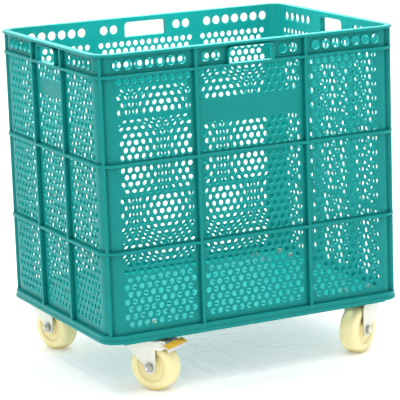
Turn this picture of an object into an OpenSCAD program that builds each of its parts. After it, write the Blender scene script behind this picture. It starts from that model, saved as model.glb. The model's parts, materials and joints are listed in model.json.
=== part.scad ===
// Tall perforated plastic crate on four swivel casters.
// Origin: centre of the footprint, on the surface the wheels stand on. +Z up, front towards -Y.

/* [Crate] */
// Length over the rim and the foot, along X
crate_l = 850; // [700:10:1100]
// Width over the rim and the foot, along Y
crate_w = 630; // [500:10:800]
// Height from the underside of the foot to the top of the rim
crate_h = 720; // [560:10:900]
// Thickness of the moulded walls
wall_t = 4; // [3:0.5:6]
// Radius of the upright corners at the rim
corner_r = 50; // [40:1:60]
// How far the ribs stand out from the wall
rib_d = 12; // [8:1:16]
// Thickness of an upright rib
rib_t = 8; // [5:1:12]
// Height of a level rib
band_t = 7; // [5:1:10]
// How much taller the lowest tier is than the others
low_tier = 6; // [0:1:12]
// How far the rim and the foot stand out past the ribs
lip = 2; // [1:0.5:4]
// Height of the rim's lip
rim_t = 7; // [5:1:10]
// Height of the stepped foot
foot_h = 20; // [14:1:28]
// Height of the foot's lower, wider step
foot_step = 8; // [5:1:12]
// Height of the plinth under the long sides
plinth_h = 4; // [2:0.5:4]
// How far the plinth is set back from the ribs' faces
plinth_back = 4; // [2:1:8]
// Upright ribs of the long sides, from the middle
rib_x = 154; // [120:1:190]
// Upright ribs of the short sides, from the middle
rib_y = 92; // [80:1:110]
// Underside of the collar, down from the rim's top
collar_h = 60; // [54:1:80]
// Thickness of the floor
floor_t = 5; // [4:0.5:8]
// Underside of the floor, up from the foot's underside
floor_z = 10; // [8:1:12]

/* [Hand windows] */
// Width of the hand windows in the long sides
grip_l = 124; // [100:1:140]
// Width of the hand windows in the short sides
grip_s = 112; // [95:1:125]
// Height left above a hand window
grip_top = 13; // [11:1:18]
// Radius of a hand window's upper corners
grip_r = 10; // [4:1:14]
// Thickness of the surround of a hand window
grip_edge = 3; // [2:0.5:5]

/* [Perforation] */
// Diameter of the small holes
hole_d = 15; // [10:0.5:18]
// Distance between small holes in a row
hole_pitch = 20.5; // [19:0.5:28]
// Distance between rows of small holes
row_pitch = 18.8; // [18:0.2:26]
// First hole of a row, from the face of the nearest upright rib
hole_side = 15.6; // [12:0.1:20]
// First row, down from the underside of a level rib
row_top = 10.6; // [9:0.1:16]
// Least height of the lowest row above a level rib
row_low = 8.6; // [8:0.1:16]
// Least height left solid above the foot
low_band = 25; // [20:1:40]
// Diameter of the collar's holes
collar_hole_d = 24; // [16:1:26]
// Distance between the collar's holes
collar_pitch = 29; // [27:0.5:36]
// First collar hole, from the face of the nearest upright rib
collar_side = 30; // [18:1:40]
// First collar hole, from the side of the hand window
collar_grip = 32; // [20:1:40]
// Diameter of the floor's drain holes
drain_d = 15; // [8:1:20]
// Distance between the floor's drain holes
drain_pitch = 34; // [28:1:50]
// Least distance from the walls to a drain hole's middle
drain_edge = 20; // [14:1:40]

/* [Casters] */
// How much further in, along X, the casters stand than the crate's round corners need
inset_x = 1; // [0:0.5:60]
// How much further in, along Y, the casters stand than the crate's round corners need
inset_y = 1; // [0:0.5:60]
// How much further in, along X, the braked caster stands
brake_in = 52; // [0:1:80]
// Diameter of a wheel
wheel_d = 125; // [100:1:160]
// Width of a wheel's tread
wheel_w = 48; // [36:1:60]
// Radius of a wheel's round shoulders
shoulder = 10; // [4:1:14]
// Height of a caster over its wheel
swivel_h = 25; // [24.5:0.5:32]
// Offset from the kingpin to the axle
trail = 33; // [28:1:42]
// Diameter of the kingpin and of the axle bolt
pin_d = 12; // [10:0.5:15]
// Thickness of the fork's sheet
fork_t = 4; // [3:0.5:5]
// Length of a mounting plate, along X
plate_l = 105; // [100:1:110]
// Width of a mounting plate, along Y
plate_w = 85; // [82:1:86]
// Thickness of a mounting plate
plate_t = 4; // [3:0.5:5]
// Distance between mounting bolts, along X
bolt_x = 80; // [76:1:84]
// Distance between mounting bolts, along Y
bolt_y = 60; // [58:1:64]
// Diameter of the mounting bolts
bolt_d = 8; // [6:1:8]
// Wheel direction of the front left caster, from +X
turn_fl = -58; // [-180:1:180]
// Wheel direction of the front right caster, from +X
turn_fr = -149; // [-180:1:180]
// Wheel direction of the rear left caster, from +X
turn_rl = -73; // [-180:1:180]
// Wheel direction of the rear right caster, from +X
turn_rr = 104; // [-180:1:180]

/* [Brake] */
// Brake pivot, out from the axle
brake_out = 39; // [36:1:44]
// Brake pivot, down from the fork's crown
brake_drop = 6; // [5:0.5:8]
// Width of the brake pedal's tread plate
pedal_w = 90; // [66:1:110]
// Depth of the brake pedal's tread plate
pedal_d = 17; // [14:1:24]
// Angle the pedal turns through from free to braked
pedal_turn = 22; // [16:1:24]

/* [Fits] */
// Radial clearance of a running fit
run = 0.05; // [0.02:0.01:0.1]
// Gap between pieces that move past each other
gap = 0.35; // [0.3:0.05:0.6]
// Radial clearance of a bolt in its hole
bolt_fit = 0.5; // [0.3:0.1:1]

/* [Hidden] */
$fn = 48;
eps = 0.01;
lap = 1;

plastic = [0.16, 0.62, 0.59];
nylon = [0.93, 0.88, 0.66];
white_zinc = [0.88, 0.88, 0.84];
steel = [0.62, 0.62, 0.62];
orange = [0.93, 0.66, 0.13];
black = [0.08, 0.08, 0.08];

// Heights
caster_h = wheel_d + swivel_h;
foot_z = caster_h - floor_z;
rim_z = foot_z + crate_h;
collar_z = rim_z - collar_h;
window_z = collar_z + band_t;
tier_h = (crate_h - collar_h - low_tier) / 3;
band_z = [collar_z - 2 * tier_h, collar_z - tier_h, collar_z];
collar_mid = (window_z + rim_z - rim_t) / 2;

// Depths, outwards from a wall's inner face
depth_rib = wall_t + rib_d;
depth_rim = depth_rib + lip;
depth_fin = depth_rib - 0.5;
in_x = crate_l / 2 - depth_rim;
in_y = crate_w / 2 - depth_rim;
half_l = crate_l / 2 - corner_r;
half_s = crate_w / 2 - corner_r;

// Sides: half of the straight length, inner face, upright rib, window width,
// rows kept above the label band, rows left out for it
long_side = [half_l, in_y, rib_x, grip_l, 4, 3];
short_side = [half_s, in_x, rib_y, grip_s, 2, 2];

// Least wall left beside a hole, and the plain pad round a mounting plate
web = 1;
pad_edge = 14;

// Swivel: crown of the fork, ball race and kingpin
axle_z = wheel_d / 2;
pin_r = pin_d / 2;
plate_z = caster_h - plate_t;
plate_r = 8;
corner_clear = 1;
crown_z = wheel_d + 5;
crown_t = 5;
crown_top = crown_z + crown_t;
crown_front = 30;
ball_r = 3.5;
ball_count = 16;
ball_z = (crown_top + plate_z) / 2;
race_r = 22;
race_in = 13;
race_out = 30;
race_gap = 2;
seat_edge = 4;
skirt_in = race_out + 3.5;
skirt_t = 2.5;
skirt_gap = 2.5;
king_head_r = pin_r + 4;
king_head_t = 4.5;
king_rivet_r = race_in - 3;
king_rivet_t = 3;

// Fork legs and wheel
fork_in = wheel_w / 2 + 2;
fork_out = fork_in + fork_t;
boss_r = pin_r + 11;
leg_back = trail + boss_r;
leg_bevel = 8;
skirt_h = 18;
leg_lap = 2;
toe = 12;
sleeve_r = pin_r + 3;
hub_t = 11;
hub_gap = 1;
recess_in = sleeve_r + 13;
recess_out = axle_z - 21.5;
recess_d = 5;
recess_slope = 4;

// Fasteners
axle_hex = 1.5 * pin_d + 1;
axle_head_t = 7.5;
axle_nut_t = 8;
axle_collar_t = 2.5;
washer_r = pin_d;
washer_t = 2;
bolt_hex = bolt_d + 5;
bolt_head_t = 5.3;
bolt_nut_t = 6.5;
bolt_washer_r = bolt_d + 3;
bolt_spare = 2.5;
axle_spare = 1.5;
nut_collar_t = 2;

// Brake
pivot = [trail + brake_out, crown_z - brake_drop];
pivot_r = 4;
pivot_head_r = 6;
cheek_r = 11;
cheek_low = [2, 3.5];
hub_r = 6.5;
pedal_t = 2.5;
pedal_post = [1, 5];
pedal_in = cheek_r + 1;
pedal_end = pedal_in + pedal_d;
pedal_z = [pivot[1] + 8, pivot[1] - 4];
pedal_slope = (pedal_z[1] - pedal_z[0]) / (pedal_end - pedal_post[0]);
lip_h = 8;
cover_t = 2.5;
cover_edge = 1.5;
shoe_edge = 3;
spring_t = 1.2;
spring_w = 20;
spring_lap = 14;
spring_gap = 1;
cover_nose = 2;
shoe_low = 2;
shoe_lap = 0.5;

// A top plate's distance from the walls that keeps its corners inside the crate's round corners
corner_in = corner_r - depth_rim - plate_r;
plate_gap = corner_in - (corner_in - corner_clear) / sqrt(2);
king_x = in_x - plate_l / 2 - plate_gap - inset_x;
king_y = in_y - plate_w / 2 - plate_gap - inset_y;
casters = [
    [brake_in - king_x, -king_y, turn_fl], [king_x, -king_y, turn_fr],
    [-king_x, king_y, turn_rl], [king_x, king_y, turn_rr]
];

// ---------- Crate ----------

// Turns and moves a side that is drawn for the front: 0 front, 1 right, 2 back, 3 left.
// The side is drawn flat, X along it and Y up, and rises outwards from its inner face.
module on_side(k) {
    s = k % 2 == 0 ? long_side : short_side;
    rotate([0, 0, 90 * k]) translate([0, -s[1], 0]) rotate([90, 0, 0]) children();
}

// A slab of a side between two depths.
module layer(from, to) {
    translate([0, 0, from]) linear_extrude(to - from) children();
}

module box2(u0, u1, v0, v1) {
    translate([u0, v0]) square([u1 - u0, v1 - v0]);
}

// Small holes between two upright lines, row by row from the top.
// Rows alternate by half a pitch; skip lists the rows that are left out.
module hole_field(u0, u1, v_low, v_high, skip) {
    count = floor((u1 - u0) / hole_pitch) + 1;
    rows = floor((v_high - row_top - v_low) / row_pitch) + 1;
    for (r = [0 : rows - 1])
        if (r < skip[0] || r >= skip[0] + skip[1])
            for (i = [0 : count - 1 - r % 2])
                translate([u0 + (i + (r % 2) / 2) * hole_pitch, v_high - row_top - r * row_pitch])
                    circle(d = hole_d);
}

// The three tiers of holes of a side.
module holes(s) {
    side = rib_t / 2 + hole_side;
    mid = s[2] - side;
    mid_count = floor(2 * mid / hole_pitch);
    mid_u = mid_count * hole_pitch / 2;
    out_0 = s[2] + side;
    out_n = floor((s[0] - hole_d / 2 - web - out_0) / hole_pitch);
    out_1 = out_0 + out_n * hole_pitch;
    lows = [foot_z + low_band + hole_d / 2, band_z[0] + band_t + row_low, band_z[1] + band_t + row_low];
    for (t = [0 : 2]) {
        hole_field(-mid_u, mid_u + eps, lows[t], band_z[t], [s[4], t == 2 ? s[5] : 0]);
        for (m = [0, 1])
            mirror([m, 0]) hole_field(out_0, out_1 + eps, lows[t], band_z[t], [0, 0]);
    }
}

// One side below the collar: perforated panel, ribs, foot and plinth.
module wall(k) {
    s = k % 2 == 0 ? long_side : short_side;
    color(plastic) on_side(k) {
        layer(0, wall_t) difference() {
            box2(-s[0], s[0], foot_z, window_z);
            holes(s);
        }
        layer(wall_t - eps, depth_rib) {
            box2(-s[0], s[0], foot_z, foot_z + foot_h);
            for (z = band_z) box2(-s[0], s[0], z, z + band_t);
            for (m = [-1, 1])
                box2(m * s[2] - rib_t / 2, m * s[2] + rib_t / 2, foot_z, window_z);
        }
        layer(depth_rib - eps, depth_rim) box2(-s[0], s[0], foot_z, foot_z + foot_step);
        if (k % 2 == 0)
            layer(wall_t, depth_rib - plinth_back) box2(-s[0], s[0], foot_z - plinth_h, foot_z + eps);
    }
}

// Outline of a hand window: upper corners rounded, open below.
module window(w, grow) {
    r = grip_r + grow;
    top = rim_z - grip_top + grow;
    box2(-w / 2 - grow, w / 2 + grow, window_z - 1, top - r);
    box2(-w / 2 - grow + r, w / 2 + grow - r, window_z - 1, top);
    for (m = [-1, 1]) translate([m * (w / 2 + grow - r), top - r]) circle(r);
}

module collar_holes(s) {
    r = collar_hole_d / 2;
    out_0 = s[2] + rib_t / 2 + collar_side;
    out_n = floor((s[0] - r - web - out_0) / collar_pitch);
    mid_0 = s[3] / 2 + collar_grip;
    mid_n = floor((s[2] - rib_t / 2 - r - web - mid_0) / collar_pitch);
    for (m = [0, 1]) mirror([m, 0]) {
        for (i = [0 : out_n]) translate([out_0 + i * collar_pitch, collar_mid]) circle(r);
        if (mid_n >= 0)
            for (i = [0 : mid_n]) translate([mid_0 + i * collar_pitch, collar_mid]) circle(r);
    }
}

// The collar of a side, to the left and right of its hand window.
module collar(k) {
    s = k % 2 == 0 ? long_side : short_side;
    bar = s[3] / 2 - grip_r;
    color(plastic) on_side(k) difference() {
        union() {
            layer(0, wall_t) difference() {
                box2(-s[0], s[0], window_z, rim_z);
                collar_holes(s);
            }
            layer(wall_t - eps, depth_rim) box2(-s[0], s[0], rim_z - rim_t, rim_z);
            layer(wall_t - eps, depth_rib) {
                for (m = [-1, 1])
                    box2(m * s[2] - rib_t / 2, m * s[2] + rib_t / 2, window_z, rim_z - rim_t + eps);
                intersection() {
                    window(s[3], grip_edge);
                    box2(-s[0], s[0], window_z, rim_z - rim_t + eps);
                }
            }
        }
        layer(-1, depth_rim + 1) {
            window(s[3], 0);
            box2(-bar, bar, window_z - 1, rim_z + 1);
        }
    }
}

// The bar above a hand window.
module grip(k) {
    s = k % 2 == 0 ? long_side : short_side;
    bar = s[3] / 2 - grip_r;
    color(plastic) on_side(k) {
        layer(0, wall_t) box2(-bar, bar, rim_z - grip_top, rim_z);
        layer(wall_t - eps, depth_rib) box2(-bar, bar, rim_z - grip_top, rim_z - grip_top + grip_edge);
        layer(wall_t - eps, depth_rim) box2(-bar, bar, rim_z - rim_t, rim_z);
    }
}

// A rounded corner of the crate with its upright fin; sx and sy are the signs of its place.
module corner(sx, sy) {
    r_in = corner_r - depth_rim;
    turn = sx > 0 ? (sy > 0 ? 0 : -90) : (sy > 0 ? 90 : 180);
    color(plastic) translate([sx * half_l, sy * half_s, 0]) rotate([0, 0, turn]) {
        rotate_extrude(angle = 90) {
            box2(r_in, r_in + wall_t, foot_z, rim_z);
            box2(r_in, corner_r, rim_z - rim_t, rim_z);
            box2(r_in, corner_r - lip, foot_z, foot_z + foot_h);
            box2(r_in, corner_r, foot_z, foot_z + foot_step);
            for (z = band_z) box2(r_in, corner_r - lip, z, z + band_t);
        }
        rotate([0, 0, 45]) translate([r_in + wall_t / 2, -rib_t / 2, foot_z])
            cube([depth_fin - wall_t / 2, rib_t, crate_h - rim_t / 2]);
    }
}

// Rounded rectangle about the origin.
module slab2(l, w, r) {
    square([l, w - 2 * r], center = true);
    square([l - 2 * r, w], center = true);
    for (x = [-1, 1], y = [-1, 1]) translate([x * (l / 2 - r), y * (w / 2 - r)]) circle(r);
}

function on_pad(x, y) = len([
    for (c = casters)
        if (abs(x - c[0]) < plate_l / 2 + pad_edge && abs(y - c[1]) < plate_w / 2 + pad_edge) 1
]) > 0;

// Floor with drain holes, solid pads over the casters and ribs underneath.
module floor_panel() {
    nx = floor((in_x - drain_edge) / drain_pitch);
    ny = floor((in_y - drain_edge) / drain_pitch);
    rib_to = king_x - brake_in - plate_l / 2 - pad_edge;
    color(plastic) {
        translate([0, 0, caster_h]) linear_extrude(floor_t) difference() {
            slab2(2 * in_x, 2 * in_y, corner_r - depth_rim);
            for (i = [-nx : nx], j = [-ny : ny])
                if (!on_pad(i * drain_pitch, j * drain_pitch))
                    translate([i * drain_pitch, j * drain_pitch]) circle(d = drain_d);
            for (c = casters, x = [-1, 1], y = [-1, 1])
                translate([c[0] + x * bolt_x / 2, c[1] + y * bolt_y / 2]) circle(d = bolt_d + 2 * bolt_fit);
        }
        for (i = [-3 : 3])
            translate([i * rib_to / 3 - wall_t / 2, -in_y, foot_z]) cube([wall_t, 2 * in_y, floor_z + eps]);
    }
}

// ---------- Casters ----------

// Puts a caster's piece at caster i: X is the wheel's direction, Z is up.
module at_caster(i) {
    translate([casters[i][0], casters[i][1], 0]) rotate([0, 0, casters[i][2]]) children();
}

// Extrudes an outline drawn in the wheel's plane, X out and Y up, between two widths.
module across(a0, a1) {
    translate([0, -a0, 0]) rotate([90, 0, 0]) linear_extrude(a1 - a0) children();
}

module hex(across_flats, h) {
    cylinder(d = across_flats / cos(30), h = h, $fn = 6);
}

// Groove that half of each ball lies in.
module race() {
    translate([0, 0, ball_z]) rotate_extrude() translate([race_r, 0]) circle(ball_r + run);
}

module top_plate(i) {
    color(white_zinc) translate([casters[i][0], casters[i][1], 0]) difference() {
        union() {
            translate([0, 0, plate_z]) linear_extrude(plate_t) slab2(plate_l, plate_w, plate_r);
            translate([0, 0, ball_z + race_gap / 2]) cylinder(r = race_out, h = plate_z - ball_z);
            translate([0, 0, crown_top + skirt_gap]) difference() {
                cylinder(r = skirt_in + skirt_t, h = plate_z - crown_top - skirt_gap + lap);
                translate([0, 0, -lap]) cylinder(r = skirt_in, h = plate_z - crown_top + 2 * lap);
            }
        }
        translate([0, 0, crown_top]) cylinder(r = race_in, h = plate_z - crown_top);
        translate([0, 0, crown_top]) cylinder(r = pin_r, h = caster_h);
        race();
        for (x = [-1, 1], y = [-1, 1])
            translate([x * bolt_x / 2, y * bolt_y / 2, plate_z - lap])
                cylinder(d = bolt_d + 2 * bolt_fit, h = plate_t + 2 * lap);
    }
}

// Riveted pin that the fork turns on.
module kingpin(i) {
    low = crown_z - king_head_t;
    color(steel) translate([casters[i][0], casters[i][1], 0]) {
        translate([0, 0, low]) cylinder(r = pin_r, h = caster_h - low);
        translate([0, 0, low]) cylinder(r = king_head_r, h = king_head_t - gap);
        translate([0, 0, plate_z - king_rivet_t]) cylinder(r = king_rivet_r, h = king_rivet_t);
    }
}

module swivel_balls(i) {
    color(steel) at_caster(i)
        for (b = [0 : ball_count - 1])
            rotate([0, 0, b * 360 / ball_count]) translate([race_r, 0, ball_z - run]) sphere(ball_r);
}

// Side outline of a fork leg; braked forks carry the brake's cheeks.
module leg2(braked) {
    knee = [-leg_lap, axle_z + boss_r + leg_lap];
    difference() {
        union() {
            polygon([
                [-crown_front, crown_top], [-crown_front, crown_z - skirt_h],
                [(knee[0] - crown_front) / 2, (knee[1] + crown_z - skirt_h) / 2 - leg_lap], knee,
                [trail - toe, axle_z + leg_lap], [trail, axle_z - leg_bevel], [leg_back, axle_z],
                [leg_back, crown_top - 2 * leg_bevel], [leg_back - leg_bevel, crown_top]
            ]);
            translate([trail, axle_z]) circle(boss_r);
            if (braked) {
                polygon([
                    [leg_back - leg_bevel, crown_top], [leg_back - leg_bevel, pivot[1] - cheek_low[1] - cheek_r],
                    [pivot[0] - cheek_low[0], pivot[1] - cheek_low[1] - cheek_r], pivot, [pivot[0], pivot[1] + cheek_r]
                ]);
                translate(pivot) circle(cheek_r);
                translate(pivot - cheek_low) circle(cheek_r);
            }
        }
        translate([trail, axle_z]) circle(pin_r + 4 * run);
        if (braked) translate(pivot) circle(pivot_r);
    }
}

module fork(i) {
    braked = i == 0;
    color(white_zinc) at_caster(i) {
        for (m = [0, 1]) mirror([0, m, 0]) across(fork_in, fork_out) leg2(braked);
        difference() {
            union() {
                translate([-crown_front, lap - fork_out, crown_z])
                    cube([crown_front + leg_back - leg_bevel, 2 * (fork_out - lap), crown_t]);
                translate([0, 0, crown_z]) cylinder(r = race_out + seat_edge, h = crown_t);
                translate([0, 0, crown_z]) cylinder(r = race_out, h = ball_z - race_gap / 2 - crown_z);
            }
            translate([0, 0, crown_z - lap]) cylinder(r = pin_r + run, h = 2 * crown_t + ball_r);
            translate([0, 0, crown_top]) cylinder(r = race_in, h = 2 * crown_t);
            race();
        }
    }
}

// Half section of a wheel: crowned tread, round shoulders, dished sides, raised hub.
module wheel2() {
    side = wheel_w / 2;
    bore = sleeve_r + run;
    difference() {
        union() {
            box2(bore, axle_z - shoulder, -side, side);
            box2(bore, axle_z, shoulder - side, side - shoulder);
            for (m = [-1, 1]) translate([axle_z - shoulder, m * (side - shoulder)]) circle(shoulder);
            box2(bore, bore + hub_t, hub_gap - fork_in, fork_in - hub_gap);
        }
        for (m = [0, 1]) mirror([0, m])
            polygon([
                [recess_in, side + lap], [recess_in, side - recess_d],
                [recess_out - recess_slope, side - recess_d], [recess_out, side], [recess_out, side + lap]
            ]);
    }
}

module wheel(i) {
    color(nylon) at_caster(i) translate([trail, 0, axle_z]) rotate([90, 0, 0])
        rotate_extrude($fn = 96) wheel2();
}

module axle_sleeve(i) {
    color(steel) at_caster(i) translate([trail, 0, axle_z]) rotate([90, 0, 0]) difference() {
        cylinder(r = sleeve_r, h = 2 * fork_in, center = true);
        cylinder(r = pin_r + run, h = 2 * (fork_in + lap), center = true);
    }
}

module axle_bolt(i) {
    end = fork_out + washer_t;
    color(steel) at_caster(i) translate([trail, 0, axle_z]) rotate([90, 0, 0]) {
        translate([0, 0, -end]) cylinder(r = pin_r, h = 2 * end + axle_nut_t + axle_collar_t + axle_spare);
        translate([0, 0, -end - axle_head_t]) hex(axle_hex, axle_head_t);
        translate([0, 0, -end]) cylinder(r = washer_r, h = washer_t);
    }
}

module axle_nut(i) {
    color(steel) at_caster(i) translate([trail, 0, axle_z]) rotate([90, 0, 0])
        translate([0, 0, fork_out]) difference() {
            union() {
                cylinder(r = washer_r, h = washer_t);
                translate([0, 0, washer_t]) hex(axle_hex, axle_nut_t);
                translate([0, 0, washer_t + axle_nut_t - eps]) cylinder(r = pin_r + nut_collar_t, h = axle_collar_t);
            }
            translate([0, 0, -lap])
                cylinder(r = pin_r + run, h = washer_t + axle_nut_t + axle_collar_t + 2 * lap);
        }
}

// Puts a piece at each of the sixteen mounting bolts.
module at_bolts() {
    for (c = casters, x = [-1, 1], y = [-1, 1])
        translate([c[0] + x * bolt_x / 2, c[1] + y * bolt_y / 2, 0]) children();
}

module mounting_bolts() {
    low = plate_z - bolt_nut_t - bolt_spare;
    seat = caster_h + floor_t;
    color(steel) at_bolts() {
        translate([0, 0, low]) cylinder(d = bolt_d, h = seat + washer_t - low);
        translate([0, 0, seat]) cylinder(r = bolt_washer_r, h = washer_t);
        translate([0, 0, seat + washer_t - eps]) hex(bolt_hex, bolt_head_t);
    }
}

module mounting_nuts() {
    color(steel) at_bolts() translate([0, 0, plate_z - bolt_nut_t]) difference() {
        hex(bolt_hex, bolt_nut_t);
        translate([0, 0, -lap]) cylinder(r = bolt_d / 2 + run, h = bolt_nut_t + 2 * lap);
    }
}

// ---------- Brake of the front left caster ----------

// Outline of the pedal's sheet: arm, tread plate and its turned-down lip.
module pedal2() {
    polygon([
        [pivot[0] + pedal_post[0], pedal_z[0] - pedal_t], [pivot[0] + pedal_end - pedal_t, pedal_z[1] - pedal_t],
        [pivot[0] + pedal_end - pedal_t, pedal_z[1] - lip_h], [pivot[0] + pedal_end, pedal_z[1] - lip_h],
        [pivot[0] + pedal_end, pedal_z[1]], [pivot[0] + pedal_post[0], pedal_z[0]]
    ]);
}

module brake_pedal() {
    wide = pivot[0] + pedal_in;
    color(steel) at_caster(0) {
        difference() {
            union() {
                across(gap - fork_in, fork_in - gap) {
                    translate(pivot) circle(hub_r);
                    pedal2();
                    box2(pivot[0] + pedal_post[0], pivot[0] + pedal_post[1], pivot[1], pedal_z[0] - pedal_t);
                }
                across(-pedal_w / 2, pedal_w / 2) intersection() {
                    pedal2();
                    box2(wide, wide + pedal_end, axle_z, caster_h);
                }
            }
            across(-pedal_w, pedal_w) translate(pivot) circle(pivot_r + run);
        }
    }
}

// Coloured cover on the pedal's tread plate.
module pedal_cover() {
    wide = pivot[0] + pedal_in;
    z0 = pedal_z[0] + pedal_slope * (pedal_in - pedal_post[0]);
    z1 = pedal_z[1] - pedal_slope;
    end = pivot[0] + pedal_end - lap;
    color(orange) at_caster(0) across(cover_edge - pedal_w / 2, pedal_w / 2 - cover_edge) polygon([
        [wide, z0], [end, z1], [end, z1 + cover_t / 2],
        [end - cover_nose, z1 - cover_nose * pedal_slope + cover_t], [wide, z0 + cover_t]
    ]);
}

// Rubber pad on the pedal's hub; its face meets the tread when the pedal is down.
module brake_shoe() {
    reach = norm([brake_out, pivot[1] - axle_z]);
    tread = reach - axle_z - gap;
    lean = atan2(pivot[1] - axle_z, brake_out) - 90;
    color(black) at_caster(0) across(shoe_edge - wheel_w / 2, wheel_w / 2 - shoe_edge) difference() {
        translate(pivot) rotate(lean + pedal_turn) difference() {
            box2(-shoe_lap, hub_r + shoe_lap, -tread - lap, -shoe_low);
            translate([0, -reach]) circle(axle_z + gap, $fn = 180);
        }
        translate(pivot) circle(hub_r);
    }
}

module brake_pivot() {
    color(steel) at_caster(0) translate([pivot[0], 0, pivot[1]]) rotate([90, 0, 0]) {
        cylinder(r = pivot_r, h = 2 * fork_out, center = true);
        for (m = [0, 1]) mirror([0, 0, m]) translate([0, 0, fork_out]) cylinder(r = pivot_head_r, h = washer_t);
    }
}

// Leaf under the crown that holds the pedal up or down.
module brake_spring() {
    from = leg_back - leg_bevel - spring_lap;
    color(steel) at_caster(0) translate([from, -spring_w / 2, crown_z - spring_t])
        cube([pivot[0] - hub_r - spring_gap - from, spring_w, spring_t]);
}

wall(0);  // front_wall
wall(1);  // right_wall
wall(2);  // back_wall
wall(3);  // left_wall
collar(0);  // front_collar
collar(1);  // right_collar
collar(2);  // back_collar
collar(3);  // left_collar
grip(0);  // front_grip
grip(1);  // right_grip
grip(2);  // back_grip
grip(3);  // left_grip
corner(-1, -1);  // corner_front_left
corner(1, -1);  // corner_front_right
corner(-1, 1);  // corner_rear_left
corner(1, 1);  // corner_rear_right
floor_panel();
mounting_bolts();
mounting_nuts();
ids = ["fl", "fr", "rl", "rr"];
for (i = [0 : 3]) {
    top_plate(i);
    kingpin(i);
    swivel_balls(i);
    fork(i);
    wheel(i);
    axle_sleeve(i);
    axle_bolt(i);
    axle_nut(i);
}
brake_pedal();
pedal_cover();
brake_shoe();
brake_pivot();
brake_spring();
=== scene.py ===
import json
import math

import bmesh
import bpy
from mathutils import Matrix, Vector

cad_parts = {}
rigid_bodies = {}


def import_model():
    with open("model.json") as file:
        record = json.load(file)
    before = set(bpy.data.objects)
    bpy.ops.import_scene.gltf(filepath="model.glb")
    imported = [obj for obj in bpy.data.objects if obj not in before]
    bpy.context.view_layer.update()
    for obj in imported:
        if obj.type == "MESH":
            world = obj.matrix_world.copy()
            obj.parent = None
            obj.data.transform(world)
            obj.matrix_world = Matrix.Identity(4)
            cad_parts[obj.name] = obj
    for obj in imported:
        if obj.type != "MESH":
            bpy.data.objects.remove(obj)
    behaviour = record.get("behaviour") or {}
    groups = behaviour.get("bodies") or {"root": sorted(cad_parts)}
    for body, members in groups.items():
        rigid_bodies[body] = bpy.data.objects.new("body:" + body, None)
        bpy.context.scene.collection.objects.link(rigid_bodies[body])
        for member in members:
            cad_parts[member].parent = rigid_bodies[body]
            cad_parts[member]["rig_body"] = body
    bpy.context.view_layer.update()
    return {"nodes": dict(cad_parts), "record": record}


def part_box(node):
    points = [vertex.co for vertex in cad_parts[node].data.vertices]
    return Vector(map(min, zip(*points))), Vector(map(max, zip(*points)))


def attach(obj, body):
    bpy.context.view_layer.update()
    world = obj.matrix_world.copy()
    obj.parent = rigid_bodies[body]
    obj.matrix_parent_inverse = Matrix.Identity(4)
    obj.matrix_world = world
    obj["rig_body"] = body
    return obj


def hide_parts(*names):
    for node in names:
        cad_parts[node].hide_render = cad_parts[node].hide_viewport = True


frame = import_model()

# ---------- Sizes, in metres ----------
# Places come from the frame's boxes. The sizes below are those of the CAD design.
WALL = 0.004
RIB_D = 0.012
LIP = 0.002
RIB_T = 0.008
BAND_T = 0.007
RIM_T = 0.007
FOOT_H = 0.020
FOOT_STEP = 0.008
PLINTH_BACK = 0.004
LOW_TIER = 0.006
RIB_AT = {"long": 0.154, "short": 0.092}
HOLE_D = 0.015
HOLE_PITCH = 0.0205
ROW_PITCH = 0.0188
HOLE_SIDE = 0.0156
ROW_TOP = 0.0106
ROW_LOW = 0.0086
LOW_BAND = 0.025
WEB = 0.001
COLLAR_HOLE_D = 0.024
COLLAR_PITCH = 0.029
COLLAR_SIDE = 0.030
COLLAR_GRIP = 0.032
GRIP_TOP = 0.013
GRIP_R = 0.010
GRIP_EDGE = 0.003
# Rows above the blank band of the middle panel, and rows that the band takes up.
LABEL_ROWS = {"long": (4, 3), "short": (2, 2)}
SPARE = 0.004
WINDOW_STEPS = 6

corner_low, corner_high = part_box("corner_front_left")
wall_low, wall_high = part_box("front_wall")
floor_low, floor_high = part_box("floor_panel")
collar_low, collar_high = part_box("front_collar")
foot_z, rim_z = corner_low.z, corner_high.z
window_z = collar_low.z
collar_z = window_z - BAND_T
plinth_z = wall_low.z
depth_rib = WALL + RIB_D
depth_rim = depth_rib + LIP
inner = {"long": floor_high.y, "short": floor_high.x}
half = {"long": wall_high.x, "short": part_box("right_wall")[1].y}
corner_r = corner_high.x - corner_low.x
r_in = corner_r - depth_rim
grip_w = {
    "long": 2 * (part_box("front_grip")[1].x + GRIP_R),
    "short": 2 * (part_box("right_grip")[1].y + GRIP_R),
}
tier_h = (collar_z - foot_z - LOW_TIER) / 3
band_z = [collar_z - 2 * tier_h, collar_z - tier_h, collar_z]
arc_end = r_in * math.pi / 4
ARC_STEPS = 6
crate_mid = Vector((0, 0, (foot_z + rim_z) / 2))

# ---------- Camera ----------
VIEW_AZIMUTH = math.radians(-26.52)
VIEW_ELEVATION = math.radians(12.06)
VIEW_ROLL = math.radians(-1.96)
VIEW_DISTANCE = 5.749
VIEW_LENS = 197.0
AIM_DOWN = 0.0966
AIM_RIGHT = 0.0028


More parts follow.
